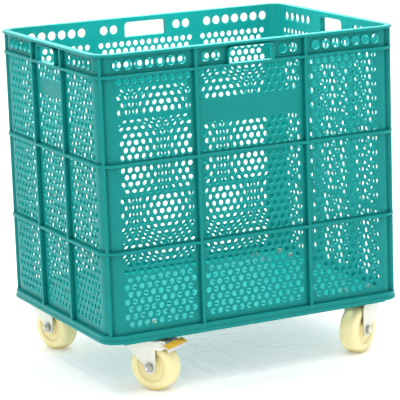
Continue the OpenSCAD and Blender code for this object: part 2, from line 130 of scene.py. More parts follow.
def make_camera():
    ca, sa = math.cos(VIEW_AZIMUTH), math.sin(VIEW_AZIMUTH)
    ce, se = math.cos(VIEW_ELEVATION), math.sin(VIEW_ELEVATION)
    back = Vector((sa * ce, -ca * ce, se))
    level = (-back).cross(Vector((0, 0, 1))).normalized()
    above = level.cross(-back)
    right = math.cos(VIEW_ROLL) * level + math.sin(VIEW_ROLL) * above
    up = math.cos(VIEW_ROLL) * above - math.sin(VIEW_ROLL) * level
    data = bpy.data.cameras.new("camera")
    data.lens = VIEW_LENS
    data.clip_start, data.clip_end = 0.1, 100
    camera = bpy.data.objects.new("camera", data)
    bpy.context.scene.collection.objects.link(camera)
    place = crate_mid + back * VIEW_DISTANCE + right * AIM_RIGHT - up * AIM_DOWN
    camera.matrix_world = Matrix.Translation(place) @ Matrix((right, up, back)).transposed().to_4x4()
    bpy.context.scene.camera = camera


# ---------- Stage ----------
def area_light(name, place, target, size, radiance, spread=180):
    """A soft rectangular light that the camera doesn't see."""
    data = bpy.data.lights.new(name, "AREA")
    data.energy = radiance * math.pi * size[0] * size[1]
    data.shape = "RECTANGLE"
    data.size, data.size_y = size
    data.spread = math.radians(spread)
    lamp = bpy.data.objects.new(name, data)
    lamp.location = place
    lamp.rotation_euler = (Vector(target) - Vector(place)).to_track_quat("-Z", "Y").to_euler()
    lamp.visible_camera = False
    bpy.context.scene.collection.objects.link(lamp)


def round_about(angle, distance, height):
    """A place round the crate: angle is measured from the camera's side, to its right."""
    turn = VIEW_AZIMUTH + math.radians(angle)
    return (distance * math.sin(turn), -distance * math.cos(turn), height)


def make_stage():
    bpy.context.scene.view_settings.view_transform = "Standard"
    world = bpy.data.worlds.new("world")
    bpy.context.scene.world = world
    world.use_nodes = True
    world.node_tree.nodes["Background"].inputs["Color"].default_value = (1, 1, 1, 1)
    world.node_tree.nodes["Background"].inputs["Strength"].default_value = 0.95
    bpy.ops.mesh.primitive_plane_add(size=60)
    floor = bpy.context.object
    floor.name = "floor"
    mat = bpy.data.materials.new("floor")
    mat.use_nodes = True
    shader = mat.node_tree.nodes["Principled BSDF"]
    for name, value in (
        ("Base Color", (0.93, 0.93, 0.93, 1)),
        ("Roughness", 0.9),
        ("Specular IOR Level", 0.1),
        ("Emission Color", (1, 1, 1, 1)),
        ("Emission Strength", 0.22),
    ):
        shader.inputs[name].default_value = value
    floor.data.materials.append(mat)
    area_light("overhead", (0, 0, 4.5), (0, 0, 0), (5, 5), 1.3)
    area_light("inside", (0, 0, rim_z + 0.45), (0, 0, 0), (0.7, 0.5), 7.0, 110)
    area_light("behind", round_about(180, 5.5, 3.0), (0, 0, 0.6), (7, 2.4), 1.8)


# ---------- Mesh helpers ----------
def to_object(name, mesh):
    made = bpy.data.objects.new(name, mesh)
    bpy.context.scene.collection.objects.link(made)
    return made


def evaluated_mesh(obj):
    graph = bpy.context.evaluated_depsgraph_get()
    return bpy.data.meshes.new_from_object(obj.evaluated_get(graph))


def drop(obj):
    data = obj.data
    bpy.data.objects.remove(obj)
    if isinstance(data, bpy.types.Curve):
        bpy.data.curves.remove(data)
    elif not data.users:
        bpy.data.meshes.remove(data)


def ring_points(x, y, radius, count):
    turn = 2 * math.pi / count
    return [(x + radius * math.cos(i * turn), y + radius * math.sin(i * turn)) for i in range(count)]


def sheet(outline, openings, low, high, chamfer, steps=0):
    """A flat plate between two depths, with every edge chamfered or rounded, as a closed mesh."""
    curve = bpy.data.curves.new("sheet", "CURVE")
    curve.dimensions, curve.fill_mode = "2D", "BOTH"
    curve.extrude = (high - low) / 2 - chamfer
    curve.bevel_depth, curve.bevel_resolution, curve.offset = chamfer, steps, -chamfer
    for points in [outline, *openings]:
        spline = curve.splines.new("POLY")
        spline.points.add(len(points) - 1)
        for point, (x, y) in zip(spline.points, points):
            point.co = (x, y, 0, 1)
        spline.use_cyclic_u = True
    obj = to_object("sheet", curve)
    mesh = evaluated_mesh(obj)
    drop(obj)
    work = bmesh.new()
    work.from_mesh(mesh)
    bmesh.ops.remove_doubles(work, verts=work.verts, dist=1e-6)
    bmesh.ops.translate(work, verts=work.verts, vec=(0, 0, (low + high) / 2))
    bmesh.ops.recalc_face_normals(work, faces=work.faces)
    work.to_mesh(mesh)
    work.free()
    return mesh


def prism(outline, axes, start, end):
    """An outline of (a, b) points swept from start to end. axes names where a, b and the sweep go."""
    work = bmesh.new()
    rings = []
    for w in (start, end):
        ring = []
        for a, b in outline:
            co = [0, 0, 0]
            co[axes[0]], co[axes[1]], co[axes[2]] = a, b, w
            ring.append(work.verts.new(co))
        rings.append(ring)
    count = len(outline)
    for i in range(count):
        j = (i + 1) % count
        work.faces.new((rings[0][i], rings[0][j], rings[1][j], rings[1][i]))
    work.faces.new(rings[0])
    work.faces.new(rings[1])
    bmesh.ops.recalc_face_normals(work, faces=work.faces)
    mesh = bpy.data.meshes.new("prism")
    work.to_mesh(mesh)
    work.free()
    return mesh


def rounded(low_a, high_a, low_b, high_b, radius, steps=4):
    """Outline of a rib's section: a box in (a, b) whose corners at high_b are rounded."""
    points = [(low_a, low_b), (high_a, low_b)]
    for side, centre_a in ((1, high_a - radius), (-1, low_a + radius)):
        for i in range(steps + 1):
            angle = math.pi / 2 * (i / steps if side > 0 else 1 + i / steps)
            points.append((centre_a + radius * math.cos(angle), high_b - radius + radius * math.sin(angle)))
    return points


def fillet(points, radii, steps=4):
    """An outline with each corner rounded by its own radius."""
    made = []
    for i, (point, radius) in enumerate(zip(points, radii)):
        point = Vector(point)
        before, after = Vector(points[i - 1]) - point, Vector(points[(i + 1) % len(points)]) - point
        if not radius:
            made.append(tuple(point))
            continue
        half_angle = before.angle(after) / 2
        before.normalize()
        after.normalize()
        centre = point + (before + after).normalized() * (radius / math.sin(half_angle))
        start = (point + before * (radius / math.tan(half_angle)) - centre).normalized()
        end = (point + after * (radius / math.tan(half_angle)) - centre).normalized()
        made += [tuple(centre + start.slerp(end, k / steps) * radius) for k in range(steps + 1)]
    return made


def lathe(profile, steps=64):
    """A closed mesh from an outline of (radius, height) points turned about Z."""
    work = bmesh.new()
    rings = []
    for r, z in profile:
        if r < 1e-9:
            rings.append([work.verts.new((0, 0, z))] * steps)
        else:
            rings.append([work.verts.new((x, y, z)) for x, y in ring_points(0, 0, r, steps)])
    for i, ring in enumerate(rings):
        following = rings[(i + 1) % len(rings)]
        for j in range(steps):
            k = (j + 1) % steps
            corners = list(dict.fromkeys((ring[j], ring[k], following[k], following[j])))
            if len(corners) > 2:
                work.faces.new(corners)
    bmesh.ops.recalc_face_normals(work, faces=work.faces)
    mesh = bpy.data.meshes.new("lathe")
    work.to_mesh(mesh)
    work.free()
    return mesh


def rod(radius, low, high, edge, steps=32):
    """A round bar along Z with rounded ends."""
    profile = fillet([(0, low), (radius, low), (radius, high), (0, high)], (0, edge, edge, 0), 3)
    return lathe(profile, steps)


def hexagon(width, low, high, edge):
    """A hexagon bar along Z whose corners are turned down at both ends."""
    corner = width / 2 / math.cos(math.pi / 6)
    bar = prism(ring_points(0, 0, corner, 6), (0, 1, 2), low, high)
    r = width / 2 * 0.98
    turned = lathe([
        (0, low), (r, low), (corner + 0.0002, low + edge),
        (corner + 0.0002, high - edge), (r, high), (0, high),
    ], 48)
    return combine(bar, [turned], "INTERSECT")


def bevelled(mesh, width, segments=2, degrees=35):
    """A mesh with its sharp edges rounded."""
    obj = to_object("bevelled", mesh)
    bevel = obj.modifiers.new("bevel", "BEVEL")
    bevel.width, bevel.segments = width, segments
    bevel.limit_method, bevel.angle_limit = "ANGLE", math.radians(degrees)
    made = evaluated_mesh(obj)
    drop(obj)
    return made


def moved(mesh, matrix):
    mesh.transform(matrix)
    return mesh


def joined(meshes):
    """Several closed meshes kept apart in one mesh."""
    work = bmesh.new()
    for mesh in meshes:
        work.from_mesh(mesh)
        bpy.data.meshes.remove(mesh)
    mesh = bpy.data.meshes.new("joined")
    work.to_mesh(mesh)
    work.free()
    return mesh


def piece(name, mesh, body, slot, replaced):
    """Adds a mesh as a piece that rides on a body and stands in for CAD nodes."""
    mesh.materials.clear()
    mesh.materials.append(materials[slot])
    smooth(mesh)
    obj = to_object(name, mesh)
    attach(obj, body)
    if replaced:
        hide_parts(*replaced)
    return obj


def combine(first, others, operation):
    """Joins meshes with the others, or cuts the others out of it, as one closed mesh."""
    base = to_object("base", first)
    tools = [to_object("tool", mesh) for mesh in others]
    for tool in tools:
        cut = base.modifiers.new("cut", "BOOLEAN")
        cut.object, cut.operation, cut.solver = tool, operation, "MANIFOLD"
    mesh = evaluated_mesh(base)
    for obj in [base, *tools]:
        drop(obj)
    return mesh


def smooth(mesh, degrees=30):
    mesh.shade_smooth()
    mesh.set_sharp_from_angle(angle=math.radians(degrees))


# ---------- Crate ----------
def hole_field(u0, u1, v_low, v_high, rows_above=0, rows_blank=0):
    """Centres of small holes between two upright lines. Alternate rows are half a pitch over."""
    count = math.floor((u1 - u0) / HOLE_PITCH + 1e-6) + 1
    rows = math.floor((v_high - ROW_TOP - v_low) / ROW_PITCH) + 1
    found = []
    for row in range(rows):
        if rows_above <= row < rows_above + rows_blank:
            continue
        odd = row % 2
        for i in range(count - odd):
            found.append((u0 + (i + odd / 2) * HOLE_PITCH, v_high - ROW_TOP - row * ROW_PITCH))
    return found


def small_holes(kind):
    side = RIB_T / 2 + HOLE_SIDE
    mid = math.floor(2 * (RIB_AT[kind] - side) / HOLE_PITCH) * HOLE_PITCH / 2
    out_0 = RIB_AT[kind] + side
    out_1 = out_0 + math.floor((half[kind] - HOLE_D / 2 - WEB - out_0) / HOLE_PITCH) * HOLE_PITCH
    lows = [foot_z + LOW_BAND + HOLE_D / 2, band_z[0] + BAND_T + ROW_LOW, band_z[1] + BAND_T + ROW_LOW]
    found = []
    for tier in range(3):
        label = LABEL_ROWS[kind] if tier == 2 else (0, 0)
        found += hole_field(-mid, mid, lows[tier], band_z[tier], *label)
        outer = hole_field(out_0, out_1, lows[tier], band_z[tier])
        found += outer + [(-u, v) for u, v in outer]
    return found


def collar_holes(kind):
    r = COLLAR_HOLE_D / 2
    middle = (window_z + rim_z - RIM_T) / 2
    out_0 = RIB_AT[kind] + RIB_T / 2 + COLLAR_SIDE
    mid_0 = grip_w[kind] / 2 + COLLAR_GRIP
    places = []
    while out_0 <= half[kind] - r - WEB + 1e-6:
        places.append(out_0)
        out_0 += COLLAR_PITCH
    while mid_0 <= RIB_AT[kind] - RIB_T / 2 - r - WEB + 1e-6:
        places.append(mid_0)
        mid_0 += COLLAR_PITCH
    return [(s * u, middle) for u in places for s in (-1, 1)]


def window(width, grow, foot):
    """Outline of a hand window: upper corners rounded, square below."""
    w, top, r = width / 2 + grow, rim_z - GRIP_TOP + grow, GRIP_R + grow
    points = [(-w, foot), (w, foot)]
    for sign in (1, -1):
        for i in range(WINDOW_STEPS + 1):
            part = i / WINDOW_STEPS
            angle = math.pi / 2 * (part if sign > 0 else 1 + part)
            points.append((sign * (w - r) + r * math.cos(angle), top - r + r * math.sin(angle)))
    return points


def side_mesh(kind):
    """One side of the crate, laid out flat: X along it, Y up and Z outwards from its inner face."""
    end = half[kind] + arc_end + SPARE
    outline = [(-end, foot_z + 0.001), (end, foot_z + 0.001), (end, rim_z - 0.001), (-end, rim_z - 0.001)]
    openings = [ring_points(u, v, HOLE_D / 2, 18) for u, v in small_holes(kind)]
    openings += [ring_points(u, v, COLLAR_HOLE_D / 2, 28) for u, v in collar_holes(kind)]
    panel = sheet(outline, openings, 0, WALL, 0.00025)
    level = [(z, z + BAND_T, WALL / 2, depth_rib, 0.0018) for z in band_z]
    level += [
        (rim_z - RIM_T, rim_z, 0, depth_rim, 0.0024),
        (foot_z, foot_z + FOOT_H, 0, depth_rib, 0.002),
        (foot_z, foot_z + FOOT_STEP, 0, depth_rim, 0.002),
    ]
    parts = [prism(rounded(*section), (1, 2, 0), -end, end) for section in level]
    for sign in (-1, 1):
        u = sign * RIB_AT[kind]
        parts.append(prism(rounded(u - RIB_T / 2, u + RIB_T / 2, WALL / 2, depth_rib, 0.0016), (0, 2, 1),
                           foot_z + 0.002, rim_z - 0.002))
    parts.append(sheet(window(grip_w[kind], GRIP_EDGE, window_z - 0.002), [], WALL / 2, depth_rib, 0.001, 1))
    for u, v in collar_holes(kind):
        parts.append(sheet(
            ring_points(u, v, COLLAR_HOLE_D / 2 + 0.0025, 28),
            [ring_points(u, v, COLLAR_HOLE_D / 2, 28)],
            WALL / 2, WALL + 0.0020, 0.0006,
        ))
    if kind == "long":
        parts.append(prism([(-half[kind], WALL), (half[kind], WALL), (half[kind], depth_rib - PLINTH_BACK),
                            (-half[kind], depth_rib - PLINTH_BACK)], (0, 2, 1), plinth_z, foot_z + 0.002))
    whole = combine(panel, parts, "UNION")
    cut = sheet(window(grip_w[kind], 0, window_z), [], -0.01, depth_rim + 0.01, 0.0001)
    return combine(whole, [cut], "DIFFERENCE")


def bend(mesh, kind):
    """Trims a flat side at the corners' middle lines and bends its ends round the corners."""
    work = bmesh.new()
    work.from_mesh(mesh)
    for sign in (-1, 1):
        for i in range(ARC_STEPS + 1):
            geom = list(work.verts) + list(work.edges) + list(work.faces)
            place = (sign * (half[kind] + arc_end * i / ARC_STEPS), 0, 0)
            cut = bmesh.ops.bisect_plane(work, geom=geom, dist=1e-7, plane_co=place, plane_no=(sign, 0, 0),
                                         clear_outer=i == ARC_STEPS)
            if i == ARC_STEPS:
                rim = [e for e in cut["geom_cut"] if isinstance(e, bmesh.types.BMEdge)]
                bmesh.ops.edgeloop_fill(work, edges=rim)
    for vert in work.verts:
        u, v, d = vert.co
        over = abs(u) - half[kind]
        sign = 1 if u > 0 else -1
        if over > 0:
            angle = over / r_in
            u = sign * (half[kind] + (r_in + d) * math.sin(angle))
            d = (r_in + d) * math.cos(angle) - r_in
        vert.co = (u, -inner[kind] - d, v)
    bmesh.ops.recalc_face_normals(work, faces=work.faces)
    work.to_mesh(mesh)
    work.free()


SIDES = {"front": ("long", 0), "right": ("short", 1), "back": ("long", 2), "left": ("short", 3)}


def make_crate():
    for kind in ("long", "short"):
        mesh = side_mesh(kind)
        bend(mesh, kind)
        for name, (its_kind, turns) in SIDES.items():
            if its_kind != kind:
                continue
            copy = mesh.copy()
            copy.transform(Matrix.Rotation(turns * math.pi / 2, 4, "Z"))
            replaced = (f"{name}_wall", f"{name}_collar", f"{name}_grip")
            piece(f"crate_{name}", copy, "root", "crate_plastic", replaced)
    for front, y in (("front", -1), ("rear", 1)):
        for hand, x in (("left", -1), ("right", 1)):
            outline = rounded(-RIB_T / 2, RIB_T / 2, r_in + WALL / 2, r_in + depth_rib - 0.0005, 0.0016)
            fin_mesh = prism(outline, (1, 0, 2), foot_z + 0.002, rim_z - 0.002)
            turn = math.atan2(y, x)
            fin_mesh.transform(
                Matrix.Translation((x * half["long"], y * half["short"], 0)) @ Matrix.Rotation(turn, 4, "Z")
            )
            piece(f"corner_fin_{front}_{hand}", fin_mesh, "root", "crate_plastic",
                  (f"corner_{front}_{hand}",))


# ---------- Crate floor ----------
DRAIN_D = 0.015
DRAIN_PITCH = 0.034
DRAIN_EDGE = 0.020
PAD_EDGE = 0.014
FLOOR_RIB_T = 0.004
IDS = ("fl", "fr", "rl", "rr")


def middle(node):
    low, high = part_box(node)
    return (low + high) / 2


def rounded_box(length, width, radius, steps=6):
    x, y = length / 2, width / 2
    return fillet([(-x, -y), (x, -y), (x, y), (-x, y)], [radius] * 4, steps)


def make_floor():
    nx = math.floor((inner["short"] - DRAIN_EDGE) / DRAIN_PITCH)
    ny = math.floor((inner["long"] - DRAIN_EDGE) / DRAIN_PITCH)
    pads = [middle(f"kingpin_{i}") for i in IDS]
    plate_low, plate_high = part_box("top_plate_fr")
    pad_x, pad_y = (plate_high.x - plate_low.x) / 2 + PAD_EDGE, (plate_high.y - plate_low.y) / 2 + PAD_EDGE
    holes = []
    for i in range(-nx, nx + 1):
        for j in range(-ny, ny + 1):
            x, y = i * DRAIN_PITCH, j * DRAIN_PITCH
            if not any(abs(x - p.x) < pad_x and abs(y - p.y) < pad_y for p in pads):
                holes.append(ring_points(x, y, DRAIN_D / 2, 20))
    holes += [ring_points(p.x + x, p.y + y, BOLT_D / 2 + BOLT_FIT, 16) for p in pads for x, y in BOLTS_AT]
    base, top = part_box("top_plate_fr")[1].z, floor_high.z
    slab = sheet(rounded_box(2 * inner["short"], 2 * inner["long"], r_in), holes, base, top, 0.0006)
    rib_to = min(abs(p.x) for p in pads) - pad_x
    ribs = []
    for i in range(-3, 4):
        x = i * rib_to / 3
        ribs.append(prism(
            rounded(x - FLOOR_RIB_T / 2, x + FLOOR_RIB_T / 2, -base - 0.001, -foot_z, 0.001, steps=2),
            (0, 2, 1), -inner["long"], inner["long"],
        ))
    ribs = [moved(rib, Matrix.Scale(-1, 4, (0, 0, 1))) for rib in ribs]
    for rib in ribs:
        rib.flip_normals()
    piece("crate_floor", combine(slab, ribs, "UNION"), "root", "crate_plastic", ("floor_panel",))


# ---------- Casters ----------
BOLT_X, BOLT_Y = 0.080, 0.060
BOLT_D = 0.008
BOLT_FIT = 0.0005
BOLT_HEX = 0.013
BOLTS_AT = [(x * BOLT_X / 2, y * BOLT_Y / 2) for x in (-1, 1) for y in (-1, 1)]
WHEEL_W, FORK_GAP, CROWN_GAP = 0.048, 0.002, 0.005
BOSS_EDGE, SLEEVE_T, RUN, BALL_GAP = 0.011, 0.003, 0.00005, 0.0001
BOLT_WASHER_R = 0.011
FORK_T = 0.004
CROWN_T = 0.005
CROWN_FRONT = 0.030
PIN_R = 0.006
SHOULDER = 0.010
RACE_IN, RACE_R, RACE_OUT, RACE_GAP = 0.013, 0.022, 0.030, 0.002
SKIRT_IN, SKIRT_T, SKIRT_GAP = 0.0335, 0.0025, 0.0025
BALL_R = 0.0035
PLATE_T = 0.004
HUB_T, RECESS_IN, RECESS_D, RECESS_SLOPE = 0.011, 0.022, 0.005, 0.004
LEG_BEVEL, SKIRT_H = 0.008, 0.018
AXLE_HEX, AXLE_HEAD_T, AXLE_NUT_T, AXLE_COLLAR_T = 0.019, 0.0075, 0.008, 0.0025
WASHER_R, WASHER_T = 0.012, 0.002
CHEEK_R, CHEEK_LOW, HUB_R, PIVOT_R = 0.011, (0.002, 0.0035), 0.0065, 0.004
PEDAL_W, PEDAL_D, PEDAL_T = 0.090, 0.017, 0.0025
LIP_H, COVER_T, COVER_EDGE = 0.008, 0.0025, 0.0015
FACING = Matrix.Rotation(math.pi / 2, 4, "X")

wheel_low, wheel_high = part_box("wheel_fl")
axle_z = (wheel_low.z + wheel_high.z) / 2
wheel_r = (wheel_high.z - wheel_low.z) / 2
plate_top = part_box("top_plate_fr")[1].z
plate_z = plate_top - PLATE_T
crown_z = 2 * wheel_r + CROWN_GAP
crown_top = crown_z + CROWN_T
ball_z = (crown_top + plate_z) / 2
hub_side = middle("wheel_fl") - middle("kingpin_fl")
trail = math.hypot(hub_side.x, hub_side.y)
wheel_half = WHEEL_W / 2
fork_in = wheel_half + FORK_GAP
fork_out = fork_in + FORK_T
boss_r = PIN_R + BOSS_EDGE
leg_back = trail + boss_r
sleeve_r = PIN_R + SLEEVE_T
pivot_out = middle("brake_pivot") - middle("kingpin_fl")
pivot = (math.hypot(pivot_out.x, pivot_out.y), middle("brake_pivot").z)


def wheel_mesh():
    """Crowned tread with a faint mould seam, round shoulders, a sunk ring in each side and a raised hub."""
    bore, recess_out = sleeve_r + RUN, wheel_r - 0.0215
    hub_w, hub_r = fork_in - 0.001, bore + HUB_T
    w = wheel_half
    side = [(bore, hub_w), (hub_r, hub_w),
            (RECESS_IN, w - RECESS_D), (recess_out - RECESS_SLOPE, w - RECESS_D),
            (recess_out, w), (wheel_r - 0.0004, w), (wheel_r - 0.0002, 0.002), (wheel_r - 0.0002, 0.0004),
            (wheel_r, 0.0001)]
    radii = [0.0008, 0.0025, 0.003, 0.004, 0.0025, SHOULDER, 0, 0, 0]
    mirrored = [(r, -z) for r, z in reversed(side)]
    return lathe(fillet(side + mirrored, radii + radii[::-1], 6), 96)


def round_in_plane(x, y, radius, low, high, steps=40):
    bar = [(0, low), (radius, low), (radius, high), (0, high)]
    return moved(lathe(bar, steps), Matrix.Translation((x, y, 0)))


def fork_mesh(braked):
    """One folded sheet: its side outline, cut out of a channel with rounded folds."""
    knee = (-0.002, axle_z + boss_r + 0.002)
    low_front = (-CROWN_FRONT, crown_z - SKIRT_H)
    points = [(-CROWN_FRONT, crown_top + 0.001), low_front,
              ((knee[0] - CROWN_FRONT) / 2, (knee[1] + low_front[1]) / 2 - 0.002), knee,
              (trail - 0.012, axle_z + 0.002), (trail, axle_z - 0.008), (leg_back, axle_z),
              (leg_back, crown_top - 2 * LEG_BEVEL), (leg_back - LEG_BEVEL, crown_top + 0.001)]
    outline = fillet(points, (0, 0.006, 0.010, 0.014, 0.003, 0.003, 0, 0.006, 0))
    wide = fork_out + 0.002
    body = sheet(outline, [], -wide, wide, 0.0001)
    added = [round_in_plane(trail, axle_z, boss_r, -wide, wide, 64)]
    if braked:
        px, pz = pivot
        arm = [(leg_back - LEG_BEVEL - 0.002, crown_top),
               (leg_back - LEG_BEVEL - 0.002, pz - CHEEK_LOW[1] - CHEEK_R),
               (px - CHEEK_LOW[0], pz - CHEEK_LOW[1] - CHEEK_R),
               (px + CHEEK_R - CHEEK_LOW[0], pz - CHEEK_LOW[1]),
               (px + CHEEK_R, pz), (px, pz + CHEEK_R)]
        added.append(sheet(fillet(arm, (0, 0, 0.008, 0, 0.008, 0)), [], -wide, wide, 0.0001))
        added.append(round_in_plane(px, pz, CHEEK_R, -wide, wide))
    body = combine(body, added, "UNION")
    channel = fillet([(fork_out, 0.02), (fork_out, crown_top), (-fork_out, crown_top), (-fork_out, 0.02),
                      (-fork_in, 0.02), (-fork_in, crown_z), (fork_in, crown_z), (fork_in, 0.02)],
                     (0, 0.006, 0.006, 0, 0, 0.002, 0.002, 0))
    body = combine(moved(body, FACING), [prism(channel, (1, 2, 0), -0.04, 0.1)], "INTERSECT")
    cuts = [moved(round_in_plane(trail, axle_z, PIN_R + 0.0002, -wide, wide), FACING),
            lathe([(0, crown_z - 0.002), (PIN_R + RUN, crown_z - 0.002),
                   (PIN_R + RUN, crown_top + 0.01), (0, crown_top + 0.01)], 40)]
    if braked:
        cuts.append(moved(round_in_plane(*pivot, PIVOT_R, -wide, wide), FACING))
        x0, x1 = leg_back - LEG_BEVEL + 0.003, 0.12
        cuts.append(prism([(x0, -fork_in), (x1, -fork_in), (x1, fork_in), (x0, fork_in)],
                          (0, 1, 2), 0.05, 0.2))
    body = combine(body, cuts, "DIFFERENCE")
    body = bevelled(body, 0.0006)
    seat = [(PIN_R + RUN, crown_z + 0.001), (RACE_OUT - 0.001, crown_z + 0.001),
            (RACE_OUT - 0.001, ball_z - RACE_GAP / 2),
            (RACE_R + BALL_R, ball_z - RACE_GAP / 2)]
    seat += [(RACE_R + (BALL_R + BALL_GAP) * math.cos(t), ball_z + (BALL_R + BALL_GAP) * math.sin(t))
             for t in [math.radians(-17 - 146 * k / 8) for k in range(9)]]
    seat += [(RACE_IN, ball_z - RACE_GAP / 2), (RACE_IN, crown_top), (PIN_R + RUN, crown_top)]
    return combine(body, [lathe(seat, 64)], "UNION")


def top_plate_mesh():
    """Plate with four bolt holes, the upper race pressed into it and the dust skirt round the race."""
    low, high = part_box("top_plate_fr")
    holes = [ring_points(x, y, BOLT_D / 2 + BOLT_FIT, 24) for x, y in BOLTS_AT]
    holes.append(ring_points(0, 0, PIN_R, 40))
    plate = sheet(rounded_box(high.x - low.x, high.y - low.y, 0.008), holes, plate_z, plate_top, 0.0006, 1)
    race = [(RACE_IN, plate_z + 0.001), (RACE_IN, ball_z + RACE_GAP / 2)]
    race += [(RACE_R + (BALL_R + BALL_GAP) * math.cos(t), ball_z + (BALL_R + BALL_GAP) * math.sin(t))
             for t in [math.radians(163 - 146 * k / 8) for k in range(9)]]
    race += [(RACE_OUT - 0.001, ball_z + RACE_GAP / 2), (RACE_OUT, ball_z + RACE_GAP / 2 + 0.001),
             (RACE_OUT, plate_z + 0.001)]
    low_z = crown_top + SKIRT_GAP
    out = SKIRT_IN + SKIRT_T
    skirt = fillet([(SKIRT_IN, plate_z + 0.001), (SKIRT_IN, low_z), (out, low_z), (out, plate_z + 0.001)],
                   (0, 0.0008, 0.0015, 0))
    return combine(plate, [lathe(race, 64), lathe(skirt, 72)], "UNION")


def kingpin_mesh():
    rivet = RACE_IN - 0.003
    low = crown_z - 0.0045
    r = PIN_R
    profile = [(0, low), (r + 0.002, low), (r + 0.004, low + 0.0015), (r + 0.004, low + 0.00415),
               (r, low + 0.00415), (r, plate_z - 0.003), (rivet, plate_z - 0.003),
               (rivet, plate_z - 0.0008), (rivet - 0.0008, plate_z),
               (r, plate_z), (r, plate_top - 0.0006), (r - 0.0006, plate_top), (0, plate_top)]
    return lathe(profile, 48)


def threaded(radius, low, high, pitch, steps=32):
    """A bar along Z with thread ridges along its length and a chamfered end."""
    root = radius - 0.55 * pitch
    profile = [(0, low), (radius, low)]
    turns = max(1, int((high - low - pitch) / pitch))
    for k in range(turns):
        profile += [(radius, low + (k + 0.25) * pitch), (root, low + (k + 0.75) * pitch)]
    profile += [(radius - 0.2 * pitch, low + (turns + 0.1) * pitch), (root, high), (0, high)]
    return lathe(profile, steps)


def spring_washer(radius, low, high):
    outline = [(PIN_R + 0.0002, low), (radius, low), (radius, high), (PIN_R + 0.0002, high)]
    return lathe(fillet(outline, (0, 0.0006, 0.0006, 0), 2), 40)


def axle_bolt_mesh():
    end = fork_out + WASHER_T
    shank = rod(PIN_R, -end - 0.001, end, 0.0002, 40)
    tip = threaded(PIN_R, end - 0.001, end + AXLE_NUT_T + AXLE_COLLAR_T + 0.0015, 0.00175, 40)
    head = hexagon(AXLE_HEX, -end - AXLE_HEAD_T, -end, 0.0016)
    washer = lathe(fillet([(0, -end), (WASHER_R, -end), (WASHER_R, -fork_out), (0, -fork_out)],
                          (0, 0.0006, 0.0006, 0), 2), 48)
    return combine(shank, [tip, washer, head], "UNION")


def axle_nut_mesh():
    washer = spring_washer(WASHER_R, fork_out, fork_out + WASHER_T)
    bore = lathe([(0, -0.01), (PIN_R + RUN, -0.01), (PIN_R + RUN, 0.1), (0, 0.1)], 40)
    top = fork_out + WASHER_T + AXLE_NUT_T
    nut = hexagon(AXLE_HEX, fork_out + WASHER_T - 0.0001, top, 0.0016)
    collar = lathe(fillet([(0, top - 0.001), (PIN_R + 0.002, top - 0.001),
                           (PIN_R + 0.002, top + AXLE_COLLAR_T), (0, top + AXLE_COLLAR_T)],
                          (0, 0, 0.0012, 0), 3), 40)
    nut = combine(nut, [collar], "UNION")
    return combine(combine(nut, [bore], "DIFFERENCE"), [washer], "UNION")


def mounting_bolt_mesh():
    low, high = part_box("mounting_bolts")
    seat = floor_high.z
    shank = threaded(BOLT_D / 2, 0, seat - low.z, 0.00125, 24)
    shank = moved(shank, Matrix.Translation((0, 0, seat)) @ Matrix.Rotation(math.pi, 4, "X"))
    washer = lathe(fillet([(0, seat - 0.0001), (BOLT_WASHER_R, seat - 0.0001),
                           (BOLT_WASHER_R, seat + WASHER_T), (0, seat + WASHER_T)],
                          (0, 0.0004, 0.0008, 0), 2), 36)
    return combine(shank, [washer, hexagon(BOLT_HEX, seat + WASHER_T - 0.0001, high.z, 0.0011)], "UNION")


def mounting_nut_mesh():
    low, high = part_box("mounting_nuts")
    bore = lathe([(0, 0), (BOLT_D / 2 + RUN, 0), (BOLT_D / 2 + RUN, 1), (0, 1)], 24)
    return combine(hexagon(BOLT_HEX, low.z, high.z, 0.0011), [bore], "DIFFERENCE")


def pedal_pieces():
    px, pz = pivot
    inner_end, outer_end = CHEEK_R + 0.001, CHEEK_R + 0.001 + PEDAL_D
    z0, z1 = pz + 0.008, pz - 0.004
    slope = (z1 - z0) / (outer_end - 0.001)
    half_w = PEDAL_W / 2
    lip = [(px + 0.001, z0 - PEDAL_T), (px + outer_end - PEDAL_T, z1 - PEDAL_T),
           (px + outer_end - PEDAL_T, z1 - LIP_H),
           (px + outer_end, z1 - LIP_H), (px + outer_end, z1), (px + 0.001, z0)]
    tread = [(px + inner_end, z0 - PEDAL_T + slope * (inner_end - 0.001)), *lip[1:5],
             (px + inner_end, z0 + slope * (inner_end - 0.001))]
    narrow = fork_in - 0.00035
    arm = sheet(fillet(lip, (0, 0.0008, 0, 0, 0.002, 0), 3), [], -narrow, narrow, 0.0001)
    plate = sheet(fillet(tread, (0, 0.0008, 0.0008, 0.0008, 0.002, 0), 3), [], -half_w, half_w, 0.0008, 2)
    hub = round_in_plane(px, pz, HUB_R, -narrow, narrow, 48)
    post = sheet([(px + 0.001, pz), (px + 0.005, pz),
                  (px + 0.005, z0 - PEDAL_T + 0.001), (px + 0.001, z0 - PEDAL_T + 0.001)],
                 [], -narrow, narrow, 0.0001)
    steel = combine(arm, [plate, hub, post], "UNION")
    steel = combine(steel, [round_in_plane(px, pz, PIVOT_R + RUN, -0.1, 0.1)], "DIFFERENCE")
    c0, c1 = z0 + slope * (inner_end - 0.001), z1 - slope * 0.001
    end = px + outer_end - 0.001
    cover = fillet([(px + inner_end, c0), (end, c1), (end, c1 + COVER_T / 2),
                    (end - 0.002, c1 - 2 * slope * 0.001 + COVER_T),
                    (px + inner_end, c0 + COVER_T)], (0, 0, 0.0008, 0.0015, 0.0006), 3)
    cover = sheet(cover, [], COVER_EDGE - half_w, half_w - COVER_EDGE, 0.0008, 2)
    return moved(steel, FACING), moved(cover, FACING)


